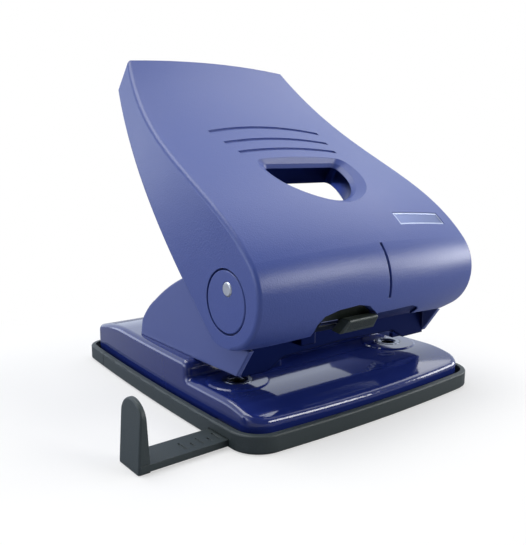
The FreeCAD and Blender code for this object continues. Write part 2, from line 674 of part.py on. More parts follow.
def side_face(face):
    # one of the cover's two sides, flat or bowed
    u0, u1, v0, v1 = face.ParameterRange
    return abs(face.normalAt((u0 + u1) / 2, (v0 + v1) / 2).x) > 0.9


creases = []
for e in outer.Edges:
    faces = outer.ancestorsOfType(e, Part.Face)
    if len(faces) == 2 and side_face(faces[0]) != side_face(faces[1]) and e.Length > 12:
        creases.append(e)
outer = outer.makeFillet(crease_r, creases)
hollow = cover_block(cover_t, 30.0)
shallow = cover_block(0.6, 30.0)
pocket_deep = 3.9
pocket_wall = 1.8
bezel_t = 0.8
deep = cover_block(pocket_deep, 30.0)
deeper = cover_block(pocket_deep + pocket_wall, 30.0)
bezel_face = cover_block(pocket_deep - bezel_t, 30.0)
panel_floor = cover_block(0.7, 30.0)

# Hand hole: a funnel in the skin, then a short collar
hole_x, hole_s0, hole_s1, hole_s2 = 18.5, 76.0, 79.2, 101.0
hole_mid = 89.0
floor_rise, skin_rise = 1.2, 4.0       # above the cover's edge line, at the hole's rim and at the skin
spread = 6.0                           # how much wider the funnel is at the skin
reach = 2.5                            # the funnel is drawn on past the skin by this many times its depth
collar_t = 1.8
collar_deep = 8.0
rim_bevel = 0.8


def hole_outline(more, rise):
    return rounded_d(hole_x + more, hole_s0 - more * 0.4, hole_s1, hole_s2 + more, 2.5 + more * 0.4, rise)


def cone(more):
    far = floor_rise + (skin_rise - floor_rise) * reach
    return funnel(hole_outline(more, floor_rise), hole_outline(more + spread * reach, far), hole_mid)


collar = on_skin(hole_outline(collar_t, 0), hole_mid, floor_rise - collar_deep, floor_rise)
bevel = funnel(hole_outline(0, floor_rise - rim_bevel), hole_outline(2 * rim_bevel, floor_rise + rim_bevel), hole_mid)
tunnel = on_skin(hole_outline(0, 0), hole_mid, -30, 20)
cover = outer.cut(hollow)
cover = cover.fuse([cone(collar_t).common(outer), collar])
cover = cover.cut([cone(0), tunnel, bevel])

# Bosses for the lever's screws
bosses = joined([along_up(x, d, 3.4, 0.15, 22) for x, d in screw_spots]).common(outer)
cover = cover.fuse(bosses)
cover = cover.cut(joined([along_up(x, d, screw_r, -1, 6.2) for x, d in screw_spots]))

# Grip grooves, the badge's seat and the sight slit over the nose
groove_w = 2.1
for x, s0, sag in ((28.5, 47.6, 2.4), (26.7, 57.3, 1.8), (25.0, 65.8, 1.2)):
    cover = cover.cut(on_skin(arched(x, s0, sag, groove_w), s0, -6, 12).cut(shallow))
badge_x1 = cover_half - 8.7
badge_x0, badge_s0, badge_s1 = badge_x1 - 28.3, 111.8, 117.9
badge_mid = (badge_s0 + badge_s1) / 2
cover = cover.cut(on_skin(rectangle(badge_x0, badge_x1, badge_s0, badge_s1), badge_mid, -8, 12).cut(shallow))


def nose_sector(s0, s1, x0, x1):
    a0, a1 = [angle0 + (at - top_len) / nose_r for at in (s0, s1)]
    ring = [(nose_y + r * math.cos(a), nose_z + r * math.sin(a)) for r, a in ((8, a0), (32, a0), (32, a1), (8, a1))]
    return across(side_wire(ring), x0, x1)


cover = cover.cut(nose_sector(124.5, 141.0, -0.1, 1.1))

# Lock pocket in the nose, open at the bottom, with a slotted back wall
lock_y = nose_y - 25
pocket_right = -2.0


def pocket(grow, z_low):
    g = grow
    spots = [(-30.6 - g, z_low), (-30.4 - g, 39 + g * 0.4), (-28.4 - g * 0.7, 41.8 + g * 0.7), (-22.6, 43.4 + g), (-14, 44 + g),
             (-9 + g * 0.5, 43 + g), (-4.4 + g, 39.8 + g * 0.5), (pocket_right + g, 37.4), (pocket_right + g, z_low)]
    face = Part.Face(Part.makePolygon([Vector(x, lock_y - 15, z) for x, z in spots + spots[:1]]))
    return face.extrude(Vector(0, 38, 0))


cover = cover.fuse(pocket(1.6, 34.2).common(outer).cut(deeper))
cover = cover.cut(pocket(0, nose_cut_z - 2).cut(deep))
cover = cover.cut(pocket(0, nose_cut_z - 2).common(box(-40, 0, -100, 0, nose_cut_z - 3, 33.5)))
lock_travel = 11.0
neck_x0, neck_x1, neck_z0, neck_z1 = -14.0, -8.0, 36.8, 38.2
slot = box(neck_x0 - lock_travel - 0.4, neck_x1 + 0.4, lock_y - 10, punch_y - 20, neck_z0 - 0.3, neck_z1 + 0.3)
cover = cover.cut(slot)
bezel = pocket(-0.1, 34.0).common(bezel_face).cut(deep).cut(slot)
save("lock_bezel", bezel)
# a smooth sunk panel beside the pocket, left bare
panel_low, panel_top = nose_cut_z + 2, 39.4
panel = [(pocket_right - 1.5, panel_low), (17.0, panel_low), (18.6, 35.8), (20.7, 37.0), (19.6, 38.1), (15.7, panel_top),
         (pocket_right - 1.5, panel_top)]
panel_face = Part.Face(Part.makePolygon([Vector(x, lock_y - 15, z) for x, z in panel + panel[:1]]))
cover = cover.cut(panel_face.extrude(Vector(0, 38, 0)).cut(panel_floor))

# Side holes for the round caps
cap_gap = 0.6
for hole in both(shaft(cap_r + cap_gap, cover_half - cover_t - 3, cover_half + 3, cap_y, cap_z)):
    cover = cover.cut(hole)
save("handle_cover", cover)

cap_flange_t = 1.3
cap = shaft(cap_r, cover_half - cover_t - 0.2, cover_half, cap_y, cap_z)
cap = cap.makeChamfer(0.3, [e for e in cap.Edges if e.BoundBox.XMin > cover_half - 0.01])
cap = cap.fuse(shaft(cap_r + 2.0, cover_half - cover_t - 0.1 - cap_flange_t, cover_half - cover_t - 0.1, cap_y, cap_z))
cap = cap.cut(shaft(axle_r + running_gap, 0, 80, pivot_y, pivot_z))
save("pivot_cap_right", cap)
save("pivot_cap_left", mirrored(cap))

plate_gap = 0.12
badge = on_skin(rectangle(badge_x0 + plate_gap, badge_x1 - plate_gap, badge_s0 + plate_gap, badge_s1 - plate_gap), badge_mid, -8, 12)
badge = badge.common(cover_block(0.15, 0)).cut(cover_block(0.6 - 0.005, 30.0))
badge_rim = 0.7
field = on_skin(rectangle(badge_x0 + badge_rim, badge_x1 - badge_rim, badge_s0 + badge_rim, badge_s1 - badge_rim),
                badge_mid, -8, 12)
badge = badge.cut(field.cut(cover_block(0.35, 30.0)))
save("name_plate", badge)

# Lock slider: a ribbed block in the pocket, a neck through the slot, a retainer behind it and a hooked
# tongue that drops in front of the bracket's catch when the handle is down
lock_top, lock_foot = nose_front + 0.53, nose_front + 4.13     # front edges of its face
lock_z0, lock_z1 = 33.9, 39.2
face_edges = [(lock_top, lock_z1), (lock_foot, lock_z0), (lock_foot + 4.5, lock_z0 + 0.5), (lock_top + 4.5, lock_z1)]
block = across(side_wire(face_edges), -19.6, -2.6)
slant = [(-19.6, 33), (-17.9, 40), (-4.2, 40), (-2.6, 33)]
slant_face = Part.Face(Part.makePolygon([Vector(x, nose_front - 5, z) for x, z in slant + slant[:1]]))
block = block.common(slant_face.extrude(Vector(0, 30, 0)))
block = block.makeFillet(0.7, [e for e in block.Edges if e.CenterOfMass.y < lock_foot + 0.1])
ribs, rib_pitch, rib_r = 12, 1.08, 0.26
face_dir = Vector(0, lock_foot - lock_top, lock_z0 - lock_z1).normalize()
for i in range(ribs):
    start = Vector(-17.0 + i * rib_pitch, lock_top - 0.08, lock_z1) + face_dir * 1.3
    block = block.cut(Part.makeCylinder(rib_r, 3.7, start, face_dir))
retainer_y = punch_y - 19.9
lock = block.fuse(box(neck_x0, neck_x1, nose_front + 5.3, retainer_y + 0.2, neck_z0, neck_z1))
lock = lock.fuse(box(neck_x0 - 2, neck_x1 + 2, retainer_y, retainer_y + 1.0, 35.8, 40.0))
lock = lock.fuse(box(neck_x0, neck_x1, retainer_y, punch_y - 11.2, catch_top + 0.6, 40.0))
lock = lock.fuse(box(neck_x0, neck_x1, punch_y - 13.2, punch_y - 11.2, 35.6, 39.0))
save("lock_slider", lock)
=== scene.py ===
"""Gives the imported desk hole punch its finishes, and sets up the studio that it is pictured in."""
import json
import math

import bpy
from bpy.props import FloatProperty, FloatVectorProperty, PointerProperty
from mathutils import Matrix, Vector


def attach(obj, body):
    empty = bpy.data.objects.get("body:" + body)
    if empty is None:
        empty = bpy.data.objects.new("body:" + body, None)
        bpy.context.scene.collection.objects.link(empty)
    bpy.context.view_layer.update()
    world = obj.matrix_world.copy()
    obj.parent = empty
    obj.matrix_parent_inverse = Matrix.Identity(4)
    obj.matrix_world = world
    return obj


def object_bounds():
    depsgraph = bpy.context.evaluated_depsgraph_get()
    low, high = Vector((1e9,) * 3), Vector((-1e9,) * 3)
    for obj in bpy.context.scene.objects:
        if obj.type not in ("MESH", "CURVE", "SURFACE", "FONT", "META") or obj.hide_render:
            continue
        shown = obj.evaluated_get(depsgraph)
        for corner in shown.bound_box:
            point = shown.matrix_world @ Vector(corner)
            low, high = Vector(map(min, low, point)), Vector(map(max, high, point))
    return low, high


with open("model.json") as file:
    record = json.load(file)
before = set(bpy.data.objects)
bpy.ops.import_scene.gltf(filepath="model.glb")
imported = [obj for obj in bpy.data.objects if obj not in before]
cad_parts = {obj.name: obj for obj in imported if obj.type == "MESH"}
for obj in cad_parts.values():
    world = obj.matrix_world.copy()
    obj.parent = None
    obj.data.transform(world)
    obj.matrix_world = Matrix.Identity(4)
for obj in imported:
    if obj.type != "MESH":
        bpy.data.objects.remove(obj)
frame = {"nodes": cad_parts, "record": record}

bl_info = {
    "name": "Desk Hole Punch Finisher",
    "version": (1, 0, 0),
    "blender": (4, 5, 0),
    "location": "3D View > Sidebar > Hole Punch",
    "description": "Rounds, paints and lights the heavy duty two hole punch around its CAD frame",
    "category": "Object",
}

CAD_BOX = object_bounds()
NODES = frame["nodes"]
BODY_OF = {node: body for body, nodes in frame["record"]["behaviour"]["bodies"].items() for node in nodes}
MM = 0.001

# Places that the finishes need, in the CAD's frame
NOSE_MIDDLE = Vector((0.0, -46.35, 48.8)) * MM         # the handle's nose is round about this line along x
NOSE_RADIUS = 22.33 * MM                               # in its middle, and a little less toward the sides
NOSE_CROWN = 347.0 * MM                                # radius of its slight barrel shape
# The handle's painted shade lies in the lock's pocket and on the bare panel, found from these places
SUNK_LEFT, SUNK_RIGHT = -28.0 * MM, 20.8 * MM          # reach of the lock's pocket and the bare panel
SUNK_TOP = 40.5 * MM
SUNK_FROM = 0.45 * MM                                  # they lie at least this far under the skin
# The front lip gets painted shade, for the shade under the handle's nose
LIP_BACK, LIP_HALF = -43.8 * MM, 47.4 * MM             # the bracket's front lip, between its side plates
# The hand hole's wall below HOLE_WALL gets painted shade too
HOLE_PLACE = Vector((0.0, -31.57, 81.76)) * MM         # middle of the hand hole, on the skin
HOLE_UP = Vector((0.0, -0.476, 0.8794))                # square to the skin there
HOLE_HALF, HOLE_REACH = 20.0 * MM, 16.0 * MM           # its wall lies this near, along x and along the skin
HOLE_WALL = 0.2 * MM                                   # below this height the wall is dark
BADGE_PLACE = Vector((31.35, -53.08, 67.52)) * MM
BADGE_ALONG = Vector((0.0, 0.757, 0.6534))             # up the skin there
BADGE_FIELD = Vector((13.35, 2.3)) * MM                # half sides of the sunk field inside the badge's rim
LEAF_LOW = Vector((-26.4, -53.6, 35.6)) * MM           # corners of the leaf behind the lock's pocket
LEAF_HIGH = Vector((-6.4, -53.15, 39.4)) * MM
LEAF_EDGE = 0.15 * MM                                  # how far its edges are rounded

# How finely the surfaces vary, in waves per metre
CLOUDS, FLOW, DULLNESS, MOTTLE = 38.0, 22.0, 160.0, 420.0
GROUND_ROUND = (60.0, 60.0, 2600.0)                    # fine rings about z
BRUSHED_ALONG = (90.0, 2400.0, 2400.0)                 # fine streaks along x
DRAWN = (900.0, 900.0, 900.0)

# How deep the marks of metal are, and the gloss of paint and plastic
SCRATCH_DEPTH, MOTTLE_DEPTH = 0.004 * MM, 0.006 * MM
LACQUER_IOR, COAT_ROUGHNESS = 1.5, 0.04

LAMP_TARGET = Vector((0.0, 0.0, 0.04))                 # the lamps face this point, in the punch's middle
SENSOR_WIDTH = 36.0                                    # in millimetres, as the camera's lens is
WHITE = (1.0, 1.0, 1.0, 1.0)


def colour_setting(name, description, default):
    """A colour picker, given in the numbers that a screen shows."""
    return FloatVectorProperty(name=name, description=description, subtype="COLOR_GAMMA",
                               size=3, min=0.0, max=1.0, default=[part / 255 for part in default])


def length_setting(name, description, default):
    """A length in metres."""
    return FloatProperty(name=name, description=description, default=default,
                         precision=5, subtype="DISTANCE", unit="LENGTH")


def factor_setting(name, description, default):
    """A number from 0 to 1."""
    return FloatProperty(name=name, description=description, default=default,
                         min=0.0, max=1.0, subtype="FACTOR")


def power_setting(name, description, default):
    """A lamp's power in watts."""
    return FloatProperty(name=name, description=description + ", in watts", default=default)


class PunchColours(bpy.types.PropertyGroup):
    """Colours of the punch's finishes"""
    handle: colour_setting("Handle", "Moulded plastic of the handle and its caps", (74, 90, 156))
    # Painted shade: a dark colour for the shade in the handle's lock pocket, on its bare panel and on its hand
    # hole's wall
    panel: colour_setting("Bare panel", "Dark smooth panel beside the lock, left bare", (34, 50, 112))
    enamel: colour_setting("Base enamel", "Glossy dark stove enamel of the pressed base", (34, 48, 118))
    bracket: colour_setting("Bracket enamel", "Stove enamel of the folded bracket", (92, 104, 161))
    # Painted shade: a darker colour for the shade on the lip under the handle's nose
    lip: colour_setting("Front lip", "Darker enamel of the lip across the bracket", (22, 34, 84))
    tray: colour_setting("Tray", "Moulded plastic of the chip tray and the paper guide", (56, 65, 65))
    lock: colour_setting("Lock", "Moulded plastic of the locking slider", (64, 72, 66))
    # Painted shade: near black for the shade deep in the lock's pocket, on its frame and on the leaf behind it
    recess: colour_setting("Lock recess", "Moulded plastic of the frame round the lock", (28, 35, 29))
    steel: colour_setting("Tool steel", "Hardened and ground steel of dies and pins", (146, 151, 162))
    zinc: colour_setting("Zinc", "Zinc plating of lever, axle and rivets", (205, 208, 212))
    wire: colour_setting("Spring wire", "Drawn wire of the springs and clips", (176, 178, 183))
    badge: colour_setting("Badge", "Brushed metal of the bare name plate's rim", (178, 186, 208))
    field: colour_setting("Badge field", "Darker metal of the name plate's sunk field", (112, 122, 158))


class PunchSurfaces(bpy.types.PropertyGroup):
    """How rough and how rounded the punch's surfaces are"""
    handle_roughness: factor_setting("Handle roughness", "Sheen of the satin handle", 0.34)
    enamel_roughness: factor_setting("Enamel roughness", "Sheen of the glossy base", 0.08)
    bracket_roughness: factor_setting("Bracket roughness", "Sheen of the bracket", 0.3)
    tray_roughness: factor_setting("Tray roughness", "Sheen of the grey mouldings", 0.5)
    grain_size: length_setting("Grain size", "Width of one grain of the moulded plastic", 0.5 * MM)
    grain_depth: length_setting("Grain depth", "Depth of the grain in the moulded plastic", 0.065 * MM)
    edge_radius: length_setting("Edge radius", "How round the sharp edges of plastic and metal look", 0.3 * MM)
    rib_edge: length_setting("Rib edge radius", "How round the fine ribs of the lock look", 0.06 * MM)
    sheet_edge: length_setting("Sheet edge radius", "How round the enamelled edges of sheet look", 0.9 * MM)
    peel_size: length_setting("Paint ripple size", "Width of one ripple of the stove enamel", 2.2 * MM)
    peel_depth: length_setting("Paint ripple depth", "Depth of the ripples of the stove enamel", 0.01 * MM)


class PunchStudio(bpy.types.PropertyGroup):
    """Camera, lamps and floor"""
    camera_place: FloatVectorProperty(name="Camera place", description="Where the camera stands", size=3,
                                      subtype="TRANSLATION", unit="LENGTH", precision=5,
                                      default=(-0.17422, -0.21931, 0.09542))
    camera_turn: FloatVectorProperty(name="Camera turn", description="How the camera is turned", size=3,
                                     subtype="EULER", unit="ROTATION", precision=4,
                                     default=[math.radians(a) for a in (79.497, -0.2454, -38.076)])
    lens: FloatProperty(name="Lens", description="Focal length for a 36 mm wide sensor, in millimetres",
                        default=45.55)
    floor_size: length_setting("Floor size", "Length of each side of the floor", 6.0)
    floor_colour: colour_setting("Floor colour", "Colour of the studio floor", (253, 252, 249))
    bounce_colour: colour_setting("Floor bounce", "Colour of the light from the floor", (160, 162, 170))
    room_colour: colour_setting("Room colour", "Colour of the light of the room", (231, 240, 255))
    room_light: factor_setting("Room light", "Strength of the soft light of the room", 0.55)
    room_gloss: factor_setting("Room gloss", "Strength of the room in reflections", 1.0)
    dark_way: FloatVectorProperty(name="Dark side", description="The way to the room's dark side", size=3,
                                  subtype="DIRECTION", default=(-0.1, -0.9, 0.42))
    dark_from: factor_setting("Dark from", "How far round to the dark side the light starts to fall", 0.25)
    dark_to: factor_setting("Dark to", "How far round to the dark side the light has fallen", 0.7)
    dark_share: factor_setting("Dark share", "Share of the room's light that its dark side gives", 0.12)
    key_power: power_setting("Key power", "Power of the soft box overhead", 6.4)
    left_power: power_setting("Left power", "Power of the cool soft box on the left", 2.1)
    left_colour: colour_setting("Left colour", "Colour of the cool soft boxes on the left", (226, 234, 252))
    back_power: power_setting("Back power", "Power of the low soft box at the left back", 2.6)
    right_power: power_setting("Right power", "Power of the soft box high on the right", 3.0)
    front_power: power_setting("Front power", "Power of the soft box at the front", 5.8)
    side_power: power_setting("Side power", "Power of the low soft box at the right front", 4.6)
    white_share: factor_setting("White share", "How much of the nearest floor's white keeps no shadow", 0.5)
    white_from: length_setting("White from", "Distance at which the floor becomes wholly white", 0.08)


def punch():
    """The settings of this scene's hole punch."""
    return bpy.context.scene.hole_punch


class Sum:
    """A shader socket that Python's signs can work on."""

    def __init__(self, finish, socket):
        self.finish = finish
        self.socket = socket

    def _math(self, operation, *values):
        return self.finish.node("ShaderNodeMath", {"operation": operation}, dict(enumerate(values)))

    def __add__(self, other):
        return self._math("ADD", self, other)

    def __sub__(self, other):
        return self._math("SUBTRACT", self, other)

    def __mul__(self, other):
        return self._math("MULTIPLY", self, other)

    def __truediv__(self, other):
        return self._math("DIVIDE", self, other)


def light_of(colour):
    """A picker's colour as the light it stands for, with full alpha."""
    return [part / 12.92 if part <= 0.04045 else ((part + 0.055) / 1.055) ** 2.4 for part in colour] + [1.0]


class Nodes:
    """A node tree that is written as sums."""

    def __init__(self, tree):
        self.tree = tree

    def node(self, kind, settings=(), sockets=(), output=0):
        """Adds one node: its settings first, then the values or links of its sockets."""
        node = self.tree.nodes.new(kind)
        for key, value in dict(settings).items():
            setattr(node, key, value)
        for key, value in dict(sockets).items():
            self.feed(node.inputs[key], value)
        return Sum(self, node.outputs[output])

    def feed(self, socket, value):
        """Gives a socket a value or a link."""
        if isinstance(value, Sum):
            self.tree.links.new(value.socket, socket)
        else:
            socket.default_value = value

    def place(self):
        """The point on the piece, in metres."""
        return self.node("ShaderNodeTexCoord", output="Object")

    def way(self, place, axis):
        """One coordinate of a point: 0 for x, 1 for y, 2 for z."""
        return self.node("ShaderNodeSeparateXYZ", (), {"Vector": place}, axis)

    def below(self, value, limit):
        """1 where value is under limit, else 0."""
        return self.node("ShaderNodeMath", {"operation": "LESS_THAN"}, {0: value, 1: limit})

    def less(self, first, second):
        """The first vector less the second, such as the way to the first point from the second."""
        return self.node("ShaderNodeVectorMath", {"operation": "SUBTRACT"}, {0: first, 1: second})

    def length(self, vector):
        """Length of a vector."""
        return self.node("ShaderNodeVectorMath", {"operation": "LENGTH"}, {0: vector}, "Value")

    def along(self, vector, way):
        """How far a vector reaches along a way of length 1."""
        return self.node("ShaderNodeVectorMath", {"operation": "DOT_PRODUCT"}, {0: vector, 1: way}, "Value")


class Finish(Nodes):
    """A material, its main shader and the marks that a surface can carry."""

    def __init__(self, name):
        self.material = bpy.data.materials.new(name)
        self.material.use_nodes = True
        super().__init__(self.material.node_tree)
        self.shader = self.tree.nodes["Principled BSDF"]

    def give(self, **sockets):
        """Feeds the main shader's sockets, whose names are written with low lines for spaces."""
        for key, value in sockets.items():
            self.feed(self.shader.inputs[key.replace("_", " ")], value)

    def stretched(self, scale):
        """The point on the piece, with each way stretched by its own scale."""
        return self.node("ShaderNodeMapping", {"vector_type": "POINT"},
                         {"Vector": self.place(), "Scale": scale})

    def noise(self, scale, detail=2.0, at=None):
        """Soft random values round 0.5 that vary over 1 / scale metres."""
        return self.node("ShaderNodeTexNoise", {"noise_dimensions": "3D"},
                         {"Vector": at or self.place(), "Scale": scale, "Detail": detail})

    def between(self, value, low, high):
        """Spreads values of 0 to 1 between two numbers."""
        return self.node("ShaderNodeMapRange", {"clamp": True},
                         {"Value": value, "To Min": low, "To Max": high})

    def tinted(self, colour, value, spread):
        """The colour, darker and lighter by spread where value is away from 0.5."""
        shade = self.between(value, 1.0 - spread, 1.0 + spread)
        return self.node("ShaderNodeVectorMath", {"operation": "SCALE"},
                         {"Vector": light_of(colour)[:3], "Scale": shade})

    def painted(self, first, second, share):
        """The first colour, and the second where share is 1; a mix node's colours are its sockets 6 and 7."""
        return self.node("ShaderNodeMix", {"data_type": "RGBA"}, {0: share, 6: first, 7: light_of(second)}, 2)

    def darkened(self, first, second, share):
        """Like painted, for painted shade: where share is 1 the dark colour stands in for shade, and the
        surface mirrors its surroundings in it.
        """
        self.give(Metallic=share)
        return self.painted(first, second, share)

    def bumped(self, height, depth, edge=None):
        """The normal, its edges eased, moved by a height of 0 to 1 that is depth metres deep."""
        rounded = self.node("ShaderNodeBevel", {"samples": 6},
                            {"Radius": edge or punch().surfaces.edge_radius})
        return self.node("ShaderNodeBump", (), {"Height": height, "Distance": depth, "Strength": 1.0,
                                                "Normal": rounded})


def moulded_plastic(name, colour, roughness, cloudiness=0.03, dark=None, dark_part=None, edge=None):
    """Satin plastic from a spark-eroded mould, with a smooth dark part of painted shade where dark_part says
    so.
    """
    surfaces = punch().surfaces
    finish = Finish(name)
    grain = finish.noise(1.0 / surfaces.grain_size, detail=1.0)
    clouds = finish.noise(CLOUDS, detail=3.0)
    shade = finish.tinted(colour, clouds, cloudiness)
    if dark_part:
        # Painted shade: the dark part stands in for shade and mirrors its surroundings in its dark colour
        shade = finish.darkened(shade, dark, dark_part(finish))
    uneven = 0.07
    finish.give(Base_Color=shade,
                Roughness=finish.between(grain * 0.5 + clouds * 0.5, roughness - uneven, roughness + uneven),
                Normal=finish.bumped(grain, surfaces.grain_depth, edge),
                IOR=LACQUER_IOR)
    return finish.material


def shade_in_sunk_and_hole(finish):
    """1 where the handle gets painted shade: in its lock pocket, on its bare panel and on the wall of its hand
    hole, else 0.
    """
    place = finish.place()
    x, y, z = [finish.way(place, axis) for axis in range(3)]
    from_axis = finish.node("ShaderNodeCombineXYZ", (), {"Y": y - NOSE_MIDDLE.y, "Z": z - NOSE_MIDDLE.z})
    under_skin = finish.length(from_axis) + x * x / (2 * NOSE_CROWN)
    sunk = (finish.below(under_skin, NOSE_RADIUS - SUNK_FROM) * finish.below(x, SUNK_RIGHT)
            * finish.below(SUNK_LEFT, x) * finish.below(z, SUNK_TOP) * finish.below(y, NOSE_MIDDLE.y))
    from_hole = finish.less(place, HOLE_PLACE)
    height = finish.along(from_hole, HOLE_UP)
    beside = finish.along(from_hole, Vector((0.0, HOLE_UP.z, -HOLE_UP.y)))
    near = finish.below(beside * beside, HOLE_REACH ** 2) * finish.below(x * x, HOLE_HALF ** 2)
    return sunk + finish.below(height, HOLE_WALL) * near


def stove_enamel(name, colour, roughness, coat, dark=None, dark_part=None):
    """Sprayed and baked paint on pressed steel, with the fine ripple of its flow, and a dark part of painted
    shade where dark_part says so.
    """
    surfaces = punch().surfaces
    finish = Finish(name)
    ripple = finish.noise(1.0 / surfaces.peel_size, detail=1.0)
    flow = finish.noise(FLOW)
    shade = finish.tinted(colour, flow, 0.04)
    if dark_part:
        # Painted shade: the dark part stands in for shade and mirrors its surroundings in its dark colour
        shade = finish.darkened(shade, dark, dark_part(finish))
    smoother, rougher = 0.03, 0.04
    finish.give(Base_Color=shade,
                Roughness=finish.between(flow, roughness - smoother, roughness + rougher),
                Normal=finish.bumped(ripple, surfaces.peel_depth, surfaces.sheet_edge),
                Coat_Weight=coat, Coat_Roughness=COAT_ROUGHNESS, IOR=LACQUER_IOR)
    return finish.material


def lip_shade(finish):
    """1 on the lip across the bracket's front, which gets painted shade for the shade under the handle's nose,
    else 0.
    """
    place = finish.place()
    x = finish.way(place, 0)
    return finish.below(finish.way(place, 1), LIP_BACK) * finish.below(x * x, LIP_HALF ** 2)


def ground_steel(name, colour, roughness, streaks=GROUND_ROUND, dark=None, dark_part=None):
    """Metal with the fine rings or streaks that grinding leaves."""
    finish = Finish(name)
    marks = finish.noise(1.0, at=finish.stretched(streaks))
    dull = finish.noise(DULLNESS)
    shade = finish.tinted(colour, dull, 0.06)
    if dark_part:
        shade = finish.painted(shade, dark, dark_part(finish))
    smoother, rougher = 0.09, 0.12
    finish.give(Base_Color=shade, Metallic=1.0,
                Roughness=finish.between(marks * 0.6 + dull * 0.4, roughness - smoother, roughness + rougher),
                Normal=finish.bumped(marks, SCRATCH_DEPTH))
    return finish.material


def badge_field(finish):
    """1 on the name plate's sunk field, else 0."""
    across = finish.less(finish.place(), BADGE_PLACE)
    x, up = finish.way(across, 0), finish.along(across, BADGE_ALONG)
    return finish.below(x * x, BADGE_FIELD.x ** 2) * finish.below(up * up, BADGE_FIELD.y ** 2)


def zinc_plate(name, colour, roughness):
    """Barrel plated zinc, faintly mottled."""
    finish = Finish(name)
    mottle = finish.noise(MOTTLE, detail=3.0)
    smoother, rougher = 0.08, 0.12
    finish.give(Base_Color=finish.tinted(colour, mottle, 0.08), Metallic=1.0,
                Roughness=finish.between(mottle, roughness - smoother, roughness + rougher),
                Normal=finish.bumped(mottle, MOTTLE_DEPTH))
    return finish.material


def paint(material, *pieces):
    """Gives pieces, or CAD nodes by name, this material in every slot."""
    for piece in pieces:
        piece = NODES[piece] if isinstance(piece, str) else piece
        for place in range(max(1, len(piece.material_slots))):
            if place >= len(piece.material_slots):
                piece.data.materials.append(material)
            piece.material_slots[place].material = material


class PUNCH_OT_base(bpy.types.Operator):
    """Enamels the pressed steel base"""
    bl_idname = "punch.base"
    bl_label = "Base"

    def execute(self, context):
        colours, surfaces = punch().colours, punch().surfaces
        paint(stove_enamel("base_enamel", colours.enamel, surfaces.enamel_roughness, coat=0.7), "base_plate")
        return {"FINISHED"}


class PUNCH_OT_bracket(bpy.types.Operator):
    """Enamels the folded bracket, with painted shade on its front lip, and plates its rivets"""
    bl_idname = "punch.bracket"
    bl_label = "Bracket"

    def execute(self, context):
        colours, surfaces = punch().colours, punch().surfaces
        paint(stove_enamel("bracket_enamel_and_lip_shade", colours.bracket, surfaces.bracket_roughness, coat=0.0,
                           dark=colours.lip, dark_part=lip_shade), "punch_bracket")
        paint(zinc_plate("rivet_zinc", colours.zinc, roughness=0.34), "bracket_rivets")
        return {"FINISHED"}


class PUNCH_OT_tray(bpy.types.Operator):
    """Gives the chip tray, its door and the paper guide their grey plastic"""
    bl_idname = "punch.tray"
    bl_label = "Tray and guide"

    def execute(self, context):
        colours, surfaces = punch().colours, punch().surfaces
        paint(moulded_plastic("tray_plastic", colours.tray, surfaces.tray_roughness),
              "chip_tray", "chip_door", "paper_guide")
        return {"FINISHED"}


class PUNCH_OT_punches(bpy.types.Operator):
    """Gives dies, guides, pins and springs their bare metal"""
    bl_idname = "punch.punches"
    bl_label = "Punches and dies"

    def execute(self, context):
        colours = punch().colours
        paint(ground_steel("tool_steel_ground", colours.steel, roughness=0.24),
              "die_left", "die_right", "punch_guide_left", "punch_guide_right",
              "punch_pin_left", "punch_pin_right")
        paint(ground_steel("spring_wire_drawn", colours.wire, roughness=0.3, streaks=DRAWN),
              "punch_spring_left", "punch_spring_right", "axle_clips")
        return {"FINISHED"}


class PUNCH_OT_lever(bpy.types.Operator):
    """Plates the lever, its screws and the axle"""
    bl_idname = "punch.lever"
    bl_label = "Lever and axle"

    def execute(self, context):
        paint(zinc_plate("lever_zinc", punch().colours.zinc, roughness=0.3),
              "handle_lever", "lever_screws", "pivot_axle")
        return {"FINISHED"}


class PUNCH_OT_handle(bpy.types.Operator):
    """Gives the handle cover and its pivot caps their satin plastic, with painted shade in the cover's lock
    pocket, on its bare panel and on its hand hole's wall
    """
    bl_idname = "punch.handle"
    bl_label = "Handle"

    def execute(self, context):
        colours, surfaces = punch().colours, punch().surfaces
        # Painted shade darkens the cover's lock pocket, bare panel and hand hole wall
        paint(moulded_plastic("handle_plastic_and_shade", colours.handle, surfaces.handle_roughness, cloudiness=0.02,
                              dark=colours.panel, dark_part=shade_in_sunk_and_hole), "handle_cover")
        paint(moulded_plastic("cap_plastic", colours.handle, surfaces.handle_roughness, cloudiness=0.02),
              "pivot_cap_left", "pivot_cap_right")
        return {"FINISHED"}


class PUNCH_OT_badge(bpy.types.Operator):
    """Brushes the bare name plate"""
    bl_idname = "punch.badge"
    bl_label = "Name plate"

    def execute(self, context):
        colours = punch().colours
        paint(ground_steel("badge_brushed", colours.badge, roughness=0.33, streaks=BRUSHED_ALONG,
                           dark=colours.field, dark_part=badge_field), "name_plate")
        return {"FINISHED"}


